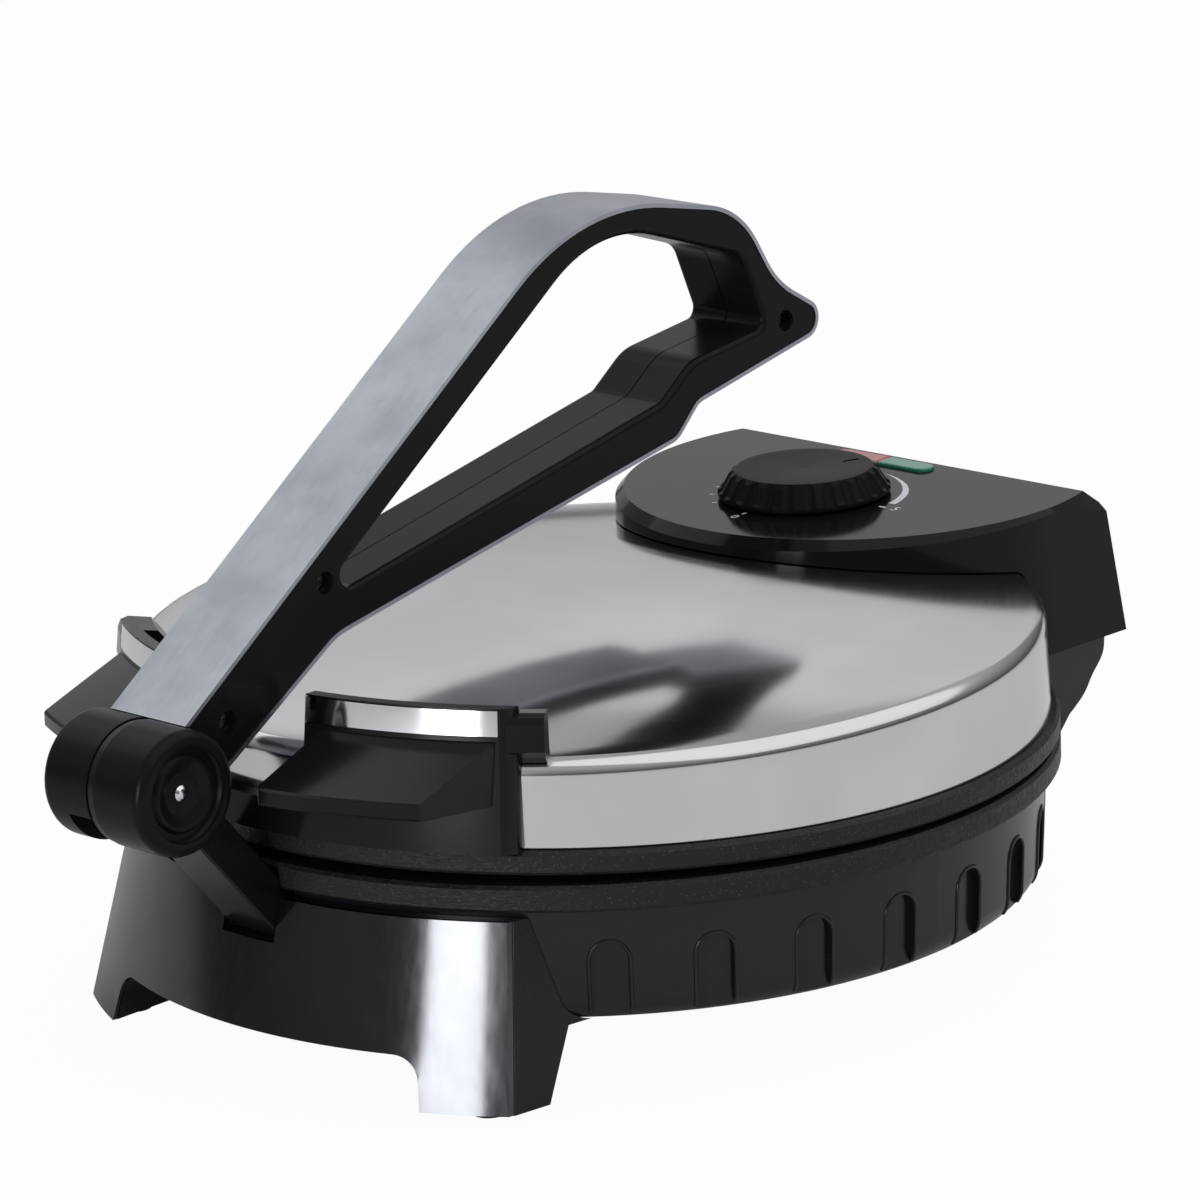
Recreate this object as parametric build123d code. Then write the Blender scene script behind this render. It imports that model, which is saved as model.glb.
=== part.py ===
from build123d import *
import math
import os

os.makedirs("parts", exist_ok=True)

# Driving dimensions in millimetres and degrees.
# The plates' axis is X = 0, Y = 0, the front is -Y, and the feet stand on Z = 0.

# Clearances
seat = 0.3                    # between pieces that rest on each other
running = 0.05                # radial clearance of a pin that turns in its bore
moving = 0.5                  # between bodies that pass each other

# Cooking plates
plate_radius = 133.0
lower_plate_height = 62.0     # cooking face of the lower plate above the table
lower_plate_thickness = 7.5
upper_plate_thickness = 6.5
plate_crown = 0.5             # the lower face is crowned and the upper one dished by this
plate_skin = 3.6              # metal over the ribs under each plate
plate_rib_inset = 27.0
plate_rib_radius = plate_radius - plate_rib_inset
plate_rib_width = 4.0
closing_gap = 0.3             # between the plates when the lid is shut
rest_angle = 0.65             # the lid stands open by this at rest

# Heating elements and reflectors
element_radius = 84.0
element_tube = 3.3
element_gap_half = 14.0       # half the angle between an element's two ends
terminal_length = 14.0
terminal_radius = 1.6
reflector_radius = 98.0
reflector_sheet = 1.0
reflector_lip = 4.0
hub_radius = 7.0

# Lower housing
bowl_radius = plate_radius - 4.4   # at its top edge
bowl_draft = 3.0
bowl_wall = 3.4
bowl_bottom = 21.5
bowl_corner = 7.0
floor_inner_radius = bowl_radius - 36.6
floor_thickness = 2.6
flute_count = 28
flute_width = 11.0
flute_top = 44.8
flute_depth = 2.1
flute_front_skip = 41.0       # no flutes within this angle of the front
flute_rear_skip = 37.0        # nor within this angle of the back

# Bottom cover, rear legs and rubber feet
cover_radius = floor_inner_radius + 7.0
cover_thickness = 2.0
cover_slots = 16
cover_slot_width = 3.0
cover_slot_inner = 40.0
cover_slot_outer = 74.0
cover_screw_circle = (floor_inner_radius + cover_radius) / 2.0
cover_screw_head = 3.0
cover_screw_shank = 1.5
cover_screw_length = 6.0
foot_radius = 5.5
foot_socket = 0.6             # the pocket a foot is pressed into is this much wider
foot_height = 2.6
foot_plug = 2.0
rear_leg_x = 56.0
rear_leg_y = bowl_radius - 30.6
rear_leg_radius = 8.0
rear_leg_top_radius = 10.0
front_foot_x = 70.0
front_foot_y = -(bowl_radius - 11.1)

# Front legs and fascia
fascia_radius = bowl_radius + 5.4   # outer face at its top edge
fascia_sheet = 1.2
fascia_flare = 0.27           # growth in radius for each millimetre down
fascia_top = 52.4
fascia_bottom = 2.8
leg_half_width = 74.0         # at the top edge, at the sides' measuring line
leg_side_line = -(bowl_radius - 16.6)
leg_side_flare = 0.19         # growth in half width for each millimetre down
leg_side_turn = 0.13          # and for each millimetre to the back
leg_inner_radius = bowl_radius - 6.1
leg_rear_top = -(bowl_radius - 30.6)
leg_rear_foot = -(bowl_radius - 18.6)
arch_height = 17.0
arch_half_width = 57.5        # at the arch's top
arch_foot_half_width = 61.0   # at the table
arch_corner = 8.0

# Link arm and lever pivot
barrel_radius = 17.2
barrel_half_length = 19.5
arm_half_width = 9.7
arm_angle = -50.0             # direction from the pivot down to the base
arm_front_offset = 3.6        # from the pivot's centre line to the arm's front face
arm_rear_offset = 7.9
arm_length = 66.0             # along the front face, from the pivot to the elbow
arm_root_top = 51.6
arm_root_bottom = 40.8
arm_root_y = -(bowl_radius - 9.6)
arm_edge = 0.6
tongue_half_width = 1.1
tongue_radius = 16.8
pin_radius = 2.2
pin_dome = 0.8

# Lever
lever_half_width = 14.5
band_thickness = 1.2
core_inset = 0.3              # the band stands this proud of the black sides
lever_angle = 35.5            # direction of the upper arm
upper_arm_outer = 10.8        # from the pivot to the upper arm's outer face
upper_arm_inner = -0.4        # and to the face in the opening
leg_angle = 32.1
leg_offset = -8.9
slot_front_left = -158.0      # where the wide pocket in each half of the barrel ends
slot_front_right = -95.0
slot_rear = -19.0
slot_floor_radius = 13.5
end_rim = 3.0
dish_radius = 13.2
dish_depth = 2.2
dish_ridge_radius = 9.5
dish_ridge_height = 0.9
dish_centre_depth = 2.7
opening_round = 1.8
seam_depth = 0.35             # the groove where the two halves meet, inside the opening
seam_half_width = 0.2
lever_screw_head = 2.8
lever_screw_bore = 3.1
lever_screw_depth = 8.0
lever_screw_shank = 1.5

# Rear hinge
hinge_y = plate_radius + 2.0
hinge_above_plate = 8.5
hinge_pin_radius = 2.5
drum_radius = 10.2
drum_inner = 48.0
hinge_hollow_radius = 12.4    # the room round the drums inside the control box
hinge_gap = 1.6               # between the hinge housing and the plates' rims
lug_radius = 6.8
lug_width = 7.4

# Lid shell
shell_radius = plate_radius - 2.6   # at its lower edge
shell_draw = 0.6              # the wall draws in by this up to the crease
shell_height = 26.2           # mean height of the side wall
shell_wedge = 1.5             # the top slopes up to the back by this
shell_sheet = 1.2
shell_crown = 11.8
shell_edge = 5.0

# Front bracket with its two finger ledges
bracket_radius = shell_radius + 6.6   # of its front face, at the bottom
bracket_lean = 0.105          # the face leans in by this for each millimetre up
bracket_angle = 35.6
bracket_round = 5.0           # the upright corners at its two ends
bracket_bottom = 7.1          # heights here are above the lower plate, lid shut
bracket_recess_top = 16.1
bracket_recess_half = 21.5
bracket_key = 8.0             # the rings reach this far inwards before the lid is cut out of them
block_top = 46.1
block_depth = 3.6
block_foot = 36.0             # where the block's back meets the lid
ledge_radius = bracket_radius + 22.3
ledge_round = 1.6
ledge_bottom = 22.4
ledge_lip = 4.9
ledge_root_bottom = 20.2
ledge_root_top = 37.4
ledge_inner_x = 27.5
ledge_outer_x = 73.0
lug_over_radius = shell_radius - 10.9
lug_over_round = 2.4
lug_over_top = 43.5
lug_over_start = 31.6
lug_over_end = 38.6
trim_height = 6.8
trim_bottom = 38.7
trim_depth = 0.8
trim_end = 33.3
trim_clearance = 0.2

# Control housing
box_radius = 74.0             # of the round front and the sides, at the bottom
box_top_radius = 71.56        # and at the height of the panel
box_setback = 17.0            # from the hinge forward to the panel's centre
box_rear = 15.5               # from the hinge back to the rear wall, at the bottom
box_rear_top = 8.2            # and at the height of the panel
box_bottom = 10.0             # above the lower plate
box_wall_height = 44.0        # between the heights of those two measures
box_top = 51.7                # panel height at the knob
panel_slope = 1.5             # the panel rises to the back
panel_radius = 70.3           # the flat inside the bevel, which slopes at 45 degrees
panel_rear = 5.0              # from the hinge back to the panel's rear edge
box_cheek = 2.7
box_cavity_radius = 26.0
box_cavity_low = 30.0
box_roof = 2.4
thermostat_radius = 14.0
thermostat_height = 4.0

# Knob and lamps
knob_setback = 42.0           # from the hinge forward to the knob
knob_radius = 25.4
knob_top_radius = 21.0
knob_height = 8.4
knob_flange = 2.2
knob_gap = 0.6
knob_grips = 24
knob_grip_radius = 2.6
knob_grip_depth = 0.8
knob_mark_angle = 62.0
knob_socket = 3.0             # from the knob's top down to the end of its bore
shaft_radius = 3.0
shaft_length = 12.0
lamp_setback = 1.8            # from the hinge forward to the lamps
lamp_centre_x = -3.9          # where the two lenses meet
lamp_length = 18.5
lamp_width = 7.0
lamp_stand = 1.0
lamp_depth = 4.0
gland_x = -48.0
gland_above_plate = 26.0
gland_radius = 6.5
gland_bore = 3.6
gland_stand = 3.0

# Places and heights that follow from them
plate_top = lower_plate_height
pivot_above_plate = 31.2
pivot_y = -(bracket_radius + 35.7)
pivot_z = plate_top + pivot_above_plate
hinge_z = plate_top + hinge_above_plate
lower_plate_under = plate_top - lower_plate_thickness
upper_plate_under = plate_top + closing_gap
upper_plate_top = upper_plate_under + upper_plate_thickness
box_centre_y = hinge_y - box_setback
box_front_y = box_centre_y - panel_radius - 2.9
knob_y = hinge_y - knob_setback
lamp_y = hinge_y - lamp_setback
drum_outer = box_radius - box_cheek - moving - 0.8
beyond = 400.0                # longer than the whole object, for cutters


def turned(points, arc=360.0, middle=0.0):
    """Revolve a closed (radius, height) outline, centred on an angle counted from the front."""
    outline = Plane.XZ * make_face(Polyline(*points, close=True))
    body = revolve(outline, Axis.Z, arc)
    return Rot(Z=middle - 90.0 - arc / 2.0 if arc < 360.0 else 0.0) * body


def rounded(corners):
    """A flat outline from (a, b, corner radius) entries."""
    outline = make_face(Polyline(*[(a, b) for a, b, _ in corners], close=True))
    for a, b, radius in corners:
        if radius:
            corner = outline.vertices().sort_by_distance((a, b, 0))[0]
            outline = fillet(corner, radius)
    return outline


def across(outline, half_width):
    """Extrude a (Y, Z) outline to both sides of X = 0."""
    return extrude(Plane.YZ * outline, amount=half_width, both=True)


def rod(radius, x_low, x_high, y, z):
    return Pos((x_low + x_high) / 2.0, y, z) * Rot(Y=90) * Cylinder(radius, x_high - x_low)


def block(x, y, z):
    """A box from three (low, high) pairs."""
    return Pos(sum(x) / 2.0, sum(y) / 2.0, sum(z) / 2.0) * Box(x[1] - x[0], y[1] - y[0], z[1] - z[0])


def at_angle(piece, angle):
    """Turn a piece made at the front to an angle counted from the front towards +X."""
    return Rot(Z=angle) * piece


def crossing(first, second):
    """Where two lines, each (point, angle), meet in the (Y, Z) plane."""
    (ay, az), a = first
    (by, bz), b = second
    a_dir = (math.cos(math.radians(a)), math.sin(math.radians(a)))
    b_dir = (math.cos(math.radians(b)), math.sin(math.radians(b)))
    cross = a_dir[0] * b_dir[1] - a_dir[1] * b_dir[0]
    t = ((by - ay) * b_dir[1] - (bz - az) * b_dir[0]) / cross
    return ay + t * a_dir[0], az + t * a_dir[1]


def beside(angle, offset):
    """The line at this angle that passes the lever's pivot at this distance."""
    turn = math.radians(angle)
    return (pivot_y - offset * math.sin(turn), pivot_z + offset * math.cos(turn)), angle


# ---------------------------------------------------------------- base

def plate_body(thickness, crown):
    """A plate lying face up on Z = 0, with its rib and hub below."""
    face = [(0, crown), (plate_radius - 14.0, 0.0), (plate_radius - 1.0, 0.0), (plate_radius, -1.0),
            (plate_radius, -thickness + 1.0), (plate_radius - 1.0, -thickness)]
    rib_out = plate_rib_radius + plate_rib_width
    under = [(rib_out, -thickness), (rib_out, -thickness - 2.0), (plate_rib_radius, -thickness - 2.0),
             (plate_rib_radius, -plate_skin - 1.0), (hub_radius + 3.0, -plate_skin - 1.0),
             (hub_radius, -thickness - 2.0 * element_tube), (0, -thickness - 2.0 * element_tube)]
    return turned(face + under)


def element(height):
    """An open ring tube with two terminals that point down."""
    start = 90.0 + element_gap_half
    ring = CenterArc((0, 0), element_radius, start, 360.0 - 2.0 * element_gap_half)
    section = Plane(ring @ 0, z_dir=ring % 0) * Circle(element_tube)
    tube = sweep(section, path=ring)
    ends = [ring @ 0, ring @ 1]
    for end in ends:
        tube += Pos(end.X, end.Y, -terminal_length / 2.0) * Cylinder(terminal_radius, terminal_length)
        tube += Pos(end.X, end.Y, 0) * Sphere(element_tube)
    return Pos(0, 0, height) * tube


def reflector():
    """A shallow pan with its inner floor on Z = 0, open upwards."""
    r = reflector_radius
    pan = turned([(0, 0), (r - 6.0, 0), (r - 1.0, reflector_lip), (r, reflector_lip), (r - 5.0, -reflector_sheet),
                  (0, -reflector_sheet)])
    for side in (-1, 1):
        angle = math.radians(90.0 + side * element_gap_half)
        slot = Pos(element_radius * math.cos(angle), element_radius * math.sin(angle), 0)
        pan -= slot * Cylinder(terminal_radius + 1.2, 6.0)
    return pan


def lower_plate():
    return Pos(0, 0, plate_top) * plate_body(lower_plate_thickness, plate_crown)


element_drop = plate_skin + 1.0 + seat + element_tube
reflector_drop = lower_plate_thickness + 2.0 * element_tube + seat


def lower_element():
    return element(plate_top - element_drop)


def lower_reflector():
    return Pos(0, 0, plate_top - reflector_drop) * reflector()


def bowl_radius_at(height):
    top = lower_plate_under - seat
    return bowl_radius - (top - height) * math.tan(math.radians(bowl_draft))


def flute():
    """The cutter for one arched flute, at the front of the bowl."""
    middle = flute_top - flute_width / 2.0
    low = bowl_bottom - 4.0
    slope = math.radians(bowl_draft)
    wall = Plane(origin=(0, -bowl_radius_at(middle), middle), x_dir=(1, 0, 0),
                 z_dir=(0, -math.cos(slope), -math.sin(slope)))
    arch = Circle(flute_width / 2.0)
    arch += Pos(0, (low - middle) / 2.0) * Rectangle(flute_width, middle - low)
    return extrude(wall * arch, amount=flute_depth, both=True)


def bowl_form(grow):
    """The solid form of the bowl's outside with its rounded lower edge, grown by a clearance."""
    top = lower_plate_under - seat
    low = bowl_bottom - grow
    rim = bowl_radius + grow
    foot = rim - (top - low) * math.tan(math.radians(bowl_draft))
    outline = rounded([(0, top, 0), (rim, top, 0), (foot, low, bowl_corner + grow), (0, low, 0)])
    return revolve(Plane.XZ * outline, Axis.Z, 360)


def base_housing():
    top = lower_plate_under - seat
    inner_low = bowl_radius_at(bowl_bottom) - bowl_wall
    inside = rounded([(0, top, 0), (bowl_radius - bowl_wall, top, 0),
                      (inner_low, bowl_bottom + floor_thickness, bowl_corner - floor_thickness),
                      (0, bowl_bottom + floor_thickness, 0)])
    bowl = bowl_form(0.0) - revolve(Plane.XZ * inside, Axis.Z, 360)
    bowl -= Cylinder(floor_inner_radius, 4.0 * bowl_bottom)
    step = 360.0 / flute_count
    cutter = flute()
    for k in range(flute_count):
        angle = (k + 0.5) * step
        from_front = min(angle, 360.0 - angle)
        if flute_front_skip < from_front < 180.0 - flute_rear_skip:
            bowl -= at_angle(cutter, angle)
    for k in range(4):
        boss = Pos(0, -cover_screw_circle, bowl_bottom + cover_screw_length / 2.0)
        bowl += at_angle(boss * Cylinder(3.2, cover_screw_length), 45.0 + 90.0 * k)
        hole = boss * Cylinder(cover_screw_shank, cover_screw_length + 4.0)
        bowl -= at_angle(hole, 45.0 + 90.0 * k)
    bowl -= arm_pocket()
    return bowl


def arm_pocket():
    half = arm_half_width + seat
    return block((-half, half), (-170.0, arm_root_y + seat), (arm_root_bottom - seat, arm_root_top + seat + 3.0))


def bottom_cover():
    top = bowl_bottom - seat
    cover = turned([(0, top), (cover_radius, top), (cover_radius, top - cover_thickness + 0.8),
                    (cover_radius - 0.8, top - cover_thickness), (0, top - cover_thickness)])
    length = cover_slot_outer - cover_slot_inner
    middle = (cover_slot_outer + cover_slot_inner) / 2.0
    slot = extrude(Pos(0, -middle, top - 5.0) * Rot(Z=90) * SlotOverall(length, cover_slot_width), 10.0)
    for k in range(cover_slots):
        cover -= at_angle(slot, 360.0 * k / cover_slots)
    for k in range(4):
        hole = Pos(0, -cover_screw_circle, top) * Cylinder(cover_screw_shank, 10.0)
        cover -= at_angle(hole, 45.0 + 90.0 * k)
    return cover


def cover_screws():
    under = bowl_bottom - seat - cover_thickness
    screw = turned([(0, under + cover_screw_length + 1.5), (cover_screw_shank - running, under + cover_screw_length + 1.5),
                    (cover_screw_shank - running, under), (cover_screw_head, under),
                    (cover_screw_head - 0.7, under - 1.3), (0, under - 1.5)])
    return [at_angle(Pos(0, -cover_screw_circle, 0) * screw, 45.0 + 90.0 * k) for k in range(4)]


def rear_legs():
    top = bowl_bottom - seat
    legs = []
    for side in (-1, 1):
        leg = turned([(0, top), (rear_leg_top_radius, top), (rear_leg_radius, foot_height),
                      (foot_radius + foot_socket, foot_height), (foot_radius + foot_socket, foot_height + foot_plug),
                      (0, foot_height + foot_plug)])
        legs.append(Pos(side * rear_leg_x, rear_leg_y, 0) * leg)
    return legs


def rubber_feet():
    foot = turned([(0, 0), (foot_radius - 0.8, 0), (foot_radius, 0.8), (foot_radius, foot_height + foot_plug - seat),
                   (0, foot_height + foot_plug - seat)])
    places = [(s * rear_leg_x, rear_leg_y) for s in (-1, 1)] + [(s * front_foot_x, front_foot_y) for s in (-1, 1)]
    return [Pos(x, y, 0) * foot for x, y in places]


def fascia_face(height):
    return fascia_radius + fascia_flare * (fascia_top - height)


def leg_side(y, height):
    """Half the width between the outer sides of the front legs."""
    return (leg_half_width + leg_side_turn * (y - leg_side_line)
            + leg_side_flare * (fascia_top - height))


def front_window():
    """The room the front legs and the fascia fill, with the arch cut out of it."""
    front = -(fascia_radius + 40.0)
    back = -(fascia_radius - 80.0)
    faces = []
    for height in (0.0, fascia_top):
        near = leg_side(front, height)
        far = leg_side(back, height)
        face = make_face(Polyline((-near, front), (near, front), (far, back), (-far, back), close=True))
        faces.append(Pos(0, 0, height) * face)
    drop = arch_foot_half_width - arch_half_width
    arch = rounded([(-arch_half_width, arch_height, arch_corner), (arch_half_width, arch_height, arch_corner),
                    (arch_foot_half_width + drop, -arch_height, 0), (-arch_foot_half_width - drop, -arch_height, 0)])
    return loft(faces, ruled=True) - extrude(Plane.XZ * arch, amount=beyond)


def front_leg_block():
    back = fascia_radius - fascia_sheet - seat
    top = fascia_top - seat
    low = foot_height
    ring = turned([(leg_inner_radius, top), (leg_inner_radius, low), (back + fascia_flare * (fascia_top - low), low),
                   (back, top)], 90.0)
    legs = (ring & front_window()) - bowl_form(seat)
    taper = Polyline((leg_rear_top + 30.0, bowl_bottom), (leg_rear_top, bowl_bottom), (leg_rear_foot, 0),
                     (leg_rear_foot, -5.0), (leg_rear_top + 30.0, -5.0), close=True)
    legs -= across(make_face(taper), beyond)
    legs -= arm_pocket()
    for side in (-1, 1):
        legs -= Pos(side * front_foot_x, front_foot_y, 0) * Cylinder(foot_radius + foot_socket, 2.0 * (foot_height + foot_plug))
    return legs


def front_fascia():
    low = fascia_bottom
    shell = turned([(fascia_face(fascia_top), fascia_top), (fascia_face(low), low),
                    (fascia_face(low) - fascia_sheet, low), (fascia_radius - fascia_sheet, fascia_top)], 90.0)
    return (shell & front_window()) - arm_pocket()


def arm_outline():
    """The link arm from the barrel down to the elbow and back into the base."""
    down = math.radians(arm_angle)
    along = (math.cos(down), math.sin(down))
    normal = (-along[1], along[0])
    front = (pivot_y - arm_front_offset * normal[0], pivot_z - arm_front_offset * normal[1])
    rear = (pivot_y + arm_rear_offset * normal[0], pivot_z + arm_rear_offset * normal[1])
    elbow_low = crossing((front, arm_angle), ((0, arm_root_bottom), 0.0))
    elbow_top = crossing((rear, arm_angle), ((0, arm_root_top), 0.0))
    return [(front[0], front[1], 0), (elbow_low[0], elbow_low[1], 2.0), (arm_root_y, arm_root_bottom, 0),
            (arm_root_y, arm_root_top, 0), (elbow_top[0], elbow_top[1], 4.0), (rear[0], rear[1], 0)]


def link_arm():
    outline = rounded(arm_outline())
    arm = across(outline, arm_half_width)
    sides = [face.outer_wire().edges() for face in arm.faces().filter_by(Axis.X)]
    arm = chamfer(sides[0] + sides[1], arm_edge)
    arm -= rod(barrel_radius + moving, -30.0, 30.0, pivot_y, pivot_z)
    tongue = across(outline, tongue_half_width)
    tongue += rod(tongue_radius, -tongue_half_width, tongue_half_width, pivot_y, pivot_z)
    arm += tongue
    arm -= Pos(0, 0, plate_top - lower_plate_thickness / 2.0) * Cylinder(
        plate_radius + moving, lower_plate_thickness + 2.0 * moving)
    arm -= rod(pin_radius, -30.0, 30.0, pivot_y, pivot_z)
    return arm


def lever_pin():
    reach = barrel_half_length - dish_centre_depth
    outline = [(0, -reach - pin_dome), (pin_radius * 0.6, -reach - pin_dome * 0.75), (pin_radius, -reach),
               (pin_radius, reach), (pin_radius * 0.6, reach + pin_dome * 0.75), (0, reach + pin_dome)]
    return Pos(0, pivot_y, pivot_z) * Rot(Y=90) * turned(outline)


def hinge_housing():
    """Two ears on the back of the bowl, each ending in a drum that holds a hinge pin."""
    top = hinge_z
    upper_from = lower_plate_under - seat
    back = Spline((hinge_y + 9.8, top), (hinge_y + 8.3, top - 6.5), (hinge_y + 4.3, top - 10.5),
                  (hinge_y + 1.2, top - 14.5), (hinge_y - 2.5, top - 17.5), (hinge_y - 6.5, top - 20.0))
    low = top - 30.5
    rest = Polyline(back @ 1, (hinge_y - 17.0, low), (hinge_y - 60.0, low), (hinge_y - 60.0, top), back @ 0)
    outline = make_face(Curve() + [back, rest])
    ears = across(outline, drum_outer)
    ears += rod(drum_radius, -drum_outer, drum_outer, hinge_y, hinge_z)
    half = drum_inner
    ears -= block((-half, half), (-beyond, beyond), (-beyond, beyond))
    ears -= Pos(0, 0, upper_from + beyond / 2.0) * Cylinder(plate_radius + hinge_gap, beyond)
    ears -= bowl_form(seat)
    for side in (-1, 1):
        ears -= rod(hinge_pin_radius, *sorted((side * (half - 12.0), side * (drum_outer - 2.5))), hinge_y, hinge_z)
    return ears


def hinge_pins():
    low = drum_inner - lug_width - 1.0
    high = drum_outer - 3.0
    return [rod(hinge_pin_radius, *sorted((side * low, side * high)), hinge_y, hinge_z) for side in (-1, 1)]


# ---------------------------------------------------------------- lever

def from_pivot(y, z):
    return pivot_y + y, pivot_z + z


def lever_lines():
    """The straight faces of the lever's outside, as (point, angle)."""
    return {
        "upper": beside(lever_angle, upper_arm_outer),
        "crown": (from_pivot(197.7, 121.8), -12.0),
        "drop": (from_pivot(237.7, 97.8), -59.0),
        "nose_top": (from_pivot(248.4, 87.3), -31.0),
        "nose_under": (from_pivot(255.0, 72.5), 11.6),
        "step": (from_pivot(203.3, 59.2), 44.0),
        "lower": (from_pivot(187.4, 51.8), 10.7),
        "leg": beside(leg_angle, leg_offset),
    }


def lever_outside():
    line = lever_lines()
    order = [("upper", "crown", 76.0), ("crown", "drop", 30.0), ("drop", "nose_top", 30.0),
             ("nose_top", "nose_under", 5.7), ("nose_under", "step", 6.0), ("step", "lower", 8.0),
             ("lower", "leg", 20.0)]
    start = line["upper"][0]
    end = line["leg"][0]
    corners = [(start[0], start[1], 0)]
    for first, second, radius in order:
        y, z = crossing(line[first], line[second])
        corners.append((y, z, radius))
    corners.append((end[0], end[1], 0))
    return rounded(corners)


def lever_opening():
    """The hand opening inside the loop."""
    line = [beside(lever_angle, upper_arm_inner), (from_pivot(200.4, 110.7), -18.9), (from_pivot(231.5, 91.8), -68.0),
            (from_pivot(217.7, 76.6), 7.4), (from_pivot(198.2, 69.8), 36.0), (from_pivot(166.1, 60.2), 11.5)]
    radii = [45.0, 8.0, 3.0, 15.0, 4.0, 3.5]
    corners = []
    for k, radius in enumerate(radii):
        y, z = crossing(line[k], line[(k + 1) % len(line)])
        corners.append((y, z, radius))
    return rounded(corners)


lever_screw_places = [from_pivot(20.4, 14.0), from_pivot(58.2, 43.5), from_pivot(244.8, 79.1)]


def barrel_sector(radius, half_width, start, stop):
    """A wedge of the barrel's wall between two angles about the pivot, counted from +Y upwards."""
    arc = stop - start
    wedge = Plane.XZ * make_face(Polyline((0, -half_width), (radius, -half_width), (radius, half_width),
                                          (0, half_width), close=True))
    wedge = revolve(wedge, Axis.Z, arc)
    return Pos(0, pivot_y, pivot_z) * Rot(Y=90) * Rot(Z=90.0 + start) * wedge


def end_dish():
    """The cutter for the shallow dish in the barrel's end, standing on the barrel's middle."""
    face = barrel_half_length
    ridge = face - dish_depth + dish_ridge_height
    outline = [(0, face - dish_centre_depth), (dish_ridge_radius - 3.5, face - dish_centre_depth + 0.3),
               (dish_ridge_radius - 0.6, ridge), (dish_ridge_radius + 0.4, ridge),
               (dish_ridge_radius + 1.4, face - dish_depth), (dish_radius - 0.6, face - dish_depth),
               (dish_radius, face - dish_depth + 0.9), (dish_radius, face + 5.0), (0, face + 5.0)]
    return turned(outline)


def lever_half(side):
    """One moulded half of the lever and barrel; side is -1 for the left and 1 for the right."""
    opening = lever_opening()
    core = offset(lever_outside(), amount=-band_thickness - 0.1) - opening
    half = extrude(Plane.YZ * core, amount=side * (lever_half_width - core_inset))
    face = half.faces().sort_by(Axis.X)[-1 if side > 0 else 0]
    half = fillet(face.inner_wires()[0].edges(), opening_round)
    half -= across(offset(opening, amount=seam_depth), seam_half_width)
    low, high = sorted((0.0, side * barrel_half_length))
    barrel = rod(barrel_radius, low, high, pivot_y, pivot_z)
    outer_edge = barrel.edges().filter_by(GeomType.CIRCLE).sort_by(Axis.X)[-1 if side > 0 else 0]
    half += fillet(outer_edge, end_rim)
    half -= Pos(0, pivot_y, pivot_z) * Rot(Y=90.0 * side) * end_dish()
    half -= rod(pin_radius + running, -beyond, beyond, pivot_y, pivot_z)
    slot_front = slot_front_right if side > 0 else slot_front_left
    pocket = barrel_sector(barrel_radius + 6.0, arm_half_width + seat, slot_front, slot_rear)
    half -= pocket - rod(slot_floor_radius, -beyond, beyond, pivot_y, pivot_z)
    half -= rod(barrel_radius + seat, -tongue_half_width - seat, tongue_half_width + seat, pivot_y, pivot_z)
    for y, z in lever_screw_places:
        if side > 0:
            half -= rod(lever_screw_bore, lever_screw_depth, beyond, y, z)
            half -= rod(lever_screw_shank + 0.2, -1.0, beyond, y, z)
        else:
            half -= rod(lever_screw_shank, -lever_screw_depth, 1.0, y, z)
    return half


def lever_band():
    outside = lever_outside()
    ring = across(outside - offset(outside, amount=-band_thickness), lever_half_width)
    return ring - rod(barrel_radius + 0.2, -40.0, 40.0, pivot_y, pivot_z)


def lever_screws():
    screws = []
    for y, z in lever_screw_places:
        shank = rod(lever_screw_shank - running, -lever_screw_depth + 0.5, lever_screw_depth + 0.2, y, z)
        head = rod(lever_screw_head, lever_screw_depth + 0.1, lever_screw_depth + 2.2, y, z)
        socket = Pos(lever_screw_depth + 2.2, y, z) * Box(1.6, 0.8, 3.6) + Pos(lever_screw_depth + 2.2, y, z) * Box(
            1.6, 3.6, 0.8)
        screws.append(shank + head - socket)
    return screws


# ---------------------------------------------------------------- lid, modelled shut

def upper_plate():
    plate = plate_body(upper_plate_thickness, -plate_crown)
    return Pos(0, 0, upper_plate_under) * Rot(Y=180) * plate


def upper_element():
    return Pos(0, 0, upper_plate_under + element_drop) * Rot(Y=180) * element(0.0)


def upper_reflector():
    drop = upper_plate_thickness + 2.0 * element_tube + seat
    return Pos(0, 0, upper_plate_under + drop) * Rot(Y=180) * reflector()


def shell_outside(grow):
    """The lid's outer form, grown by a clearance, about its sloping axis."""
    rim = shell_height
    lean = shell_draw / rim
    low = -12.0
    crown = rim + shell_crown + grow
    foot = shell_radius - lean * low + grow
    crease = shell_radius - lean * rim + grow
    sphere = (crease ** 2 + shell_crown ** 2) / (2.0 * shell_crown)
    halfway = crown - sphere + math.sqrt(sphere ** 2 - (crease / 2.0) ** 2)
    sides = Polyline((0, low), (foot, low), (crease, rim + grow))
    dome = ThreePointArc((crease, rim + grow), (crease / 2.0, halfway), (0, crown))
    face = make_face(Curve() + [sides, dome, Line((0, crown), (0, low))])
    corner = face.vertices().sort_by_distance((crease, rim + grow, 0))[0]
    form = revolve(Plane.XZ * fillet(corner, shell_edge + grow), Axis.Z, 360)
    return Pos(0, 0, upper_plate_top + seat) * Rot(X=shell_wedge) * form


def below_lid(grow):
    low = upper_plate_top + seat
    return Pos(0, 0, low - grow - beyond / 2.0) * Cylinder(beyond, beyond)


def lid_shell():
    shell = shell_outside(0.0) - shell_outside(-shell_sheet)
    return shell - below_lid(0.0)


def on_face(above, out=0.0):
    """A (radius, height) point on the bracket's leaning front face, or out from it."""
    return bracket_radius - bracket_lean * (above - bracket_bottom) + out, plate_top + above


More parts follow.
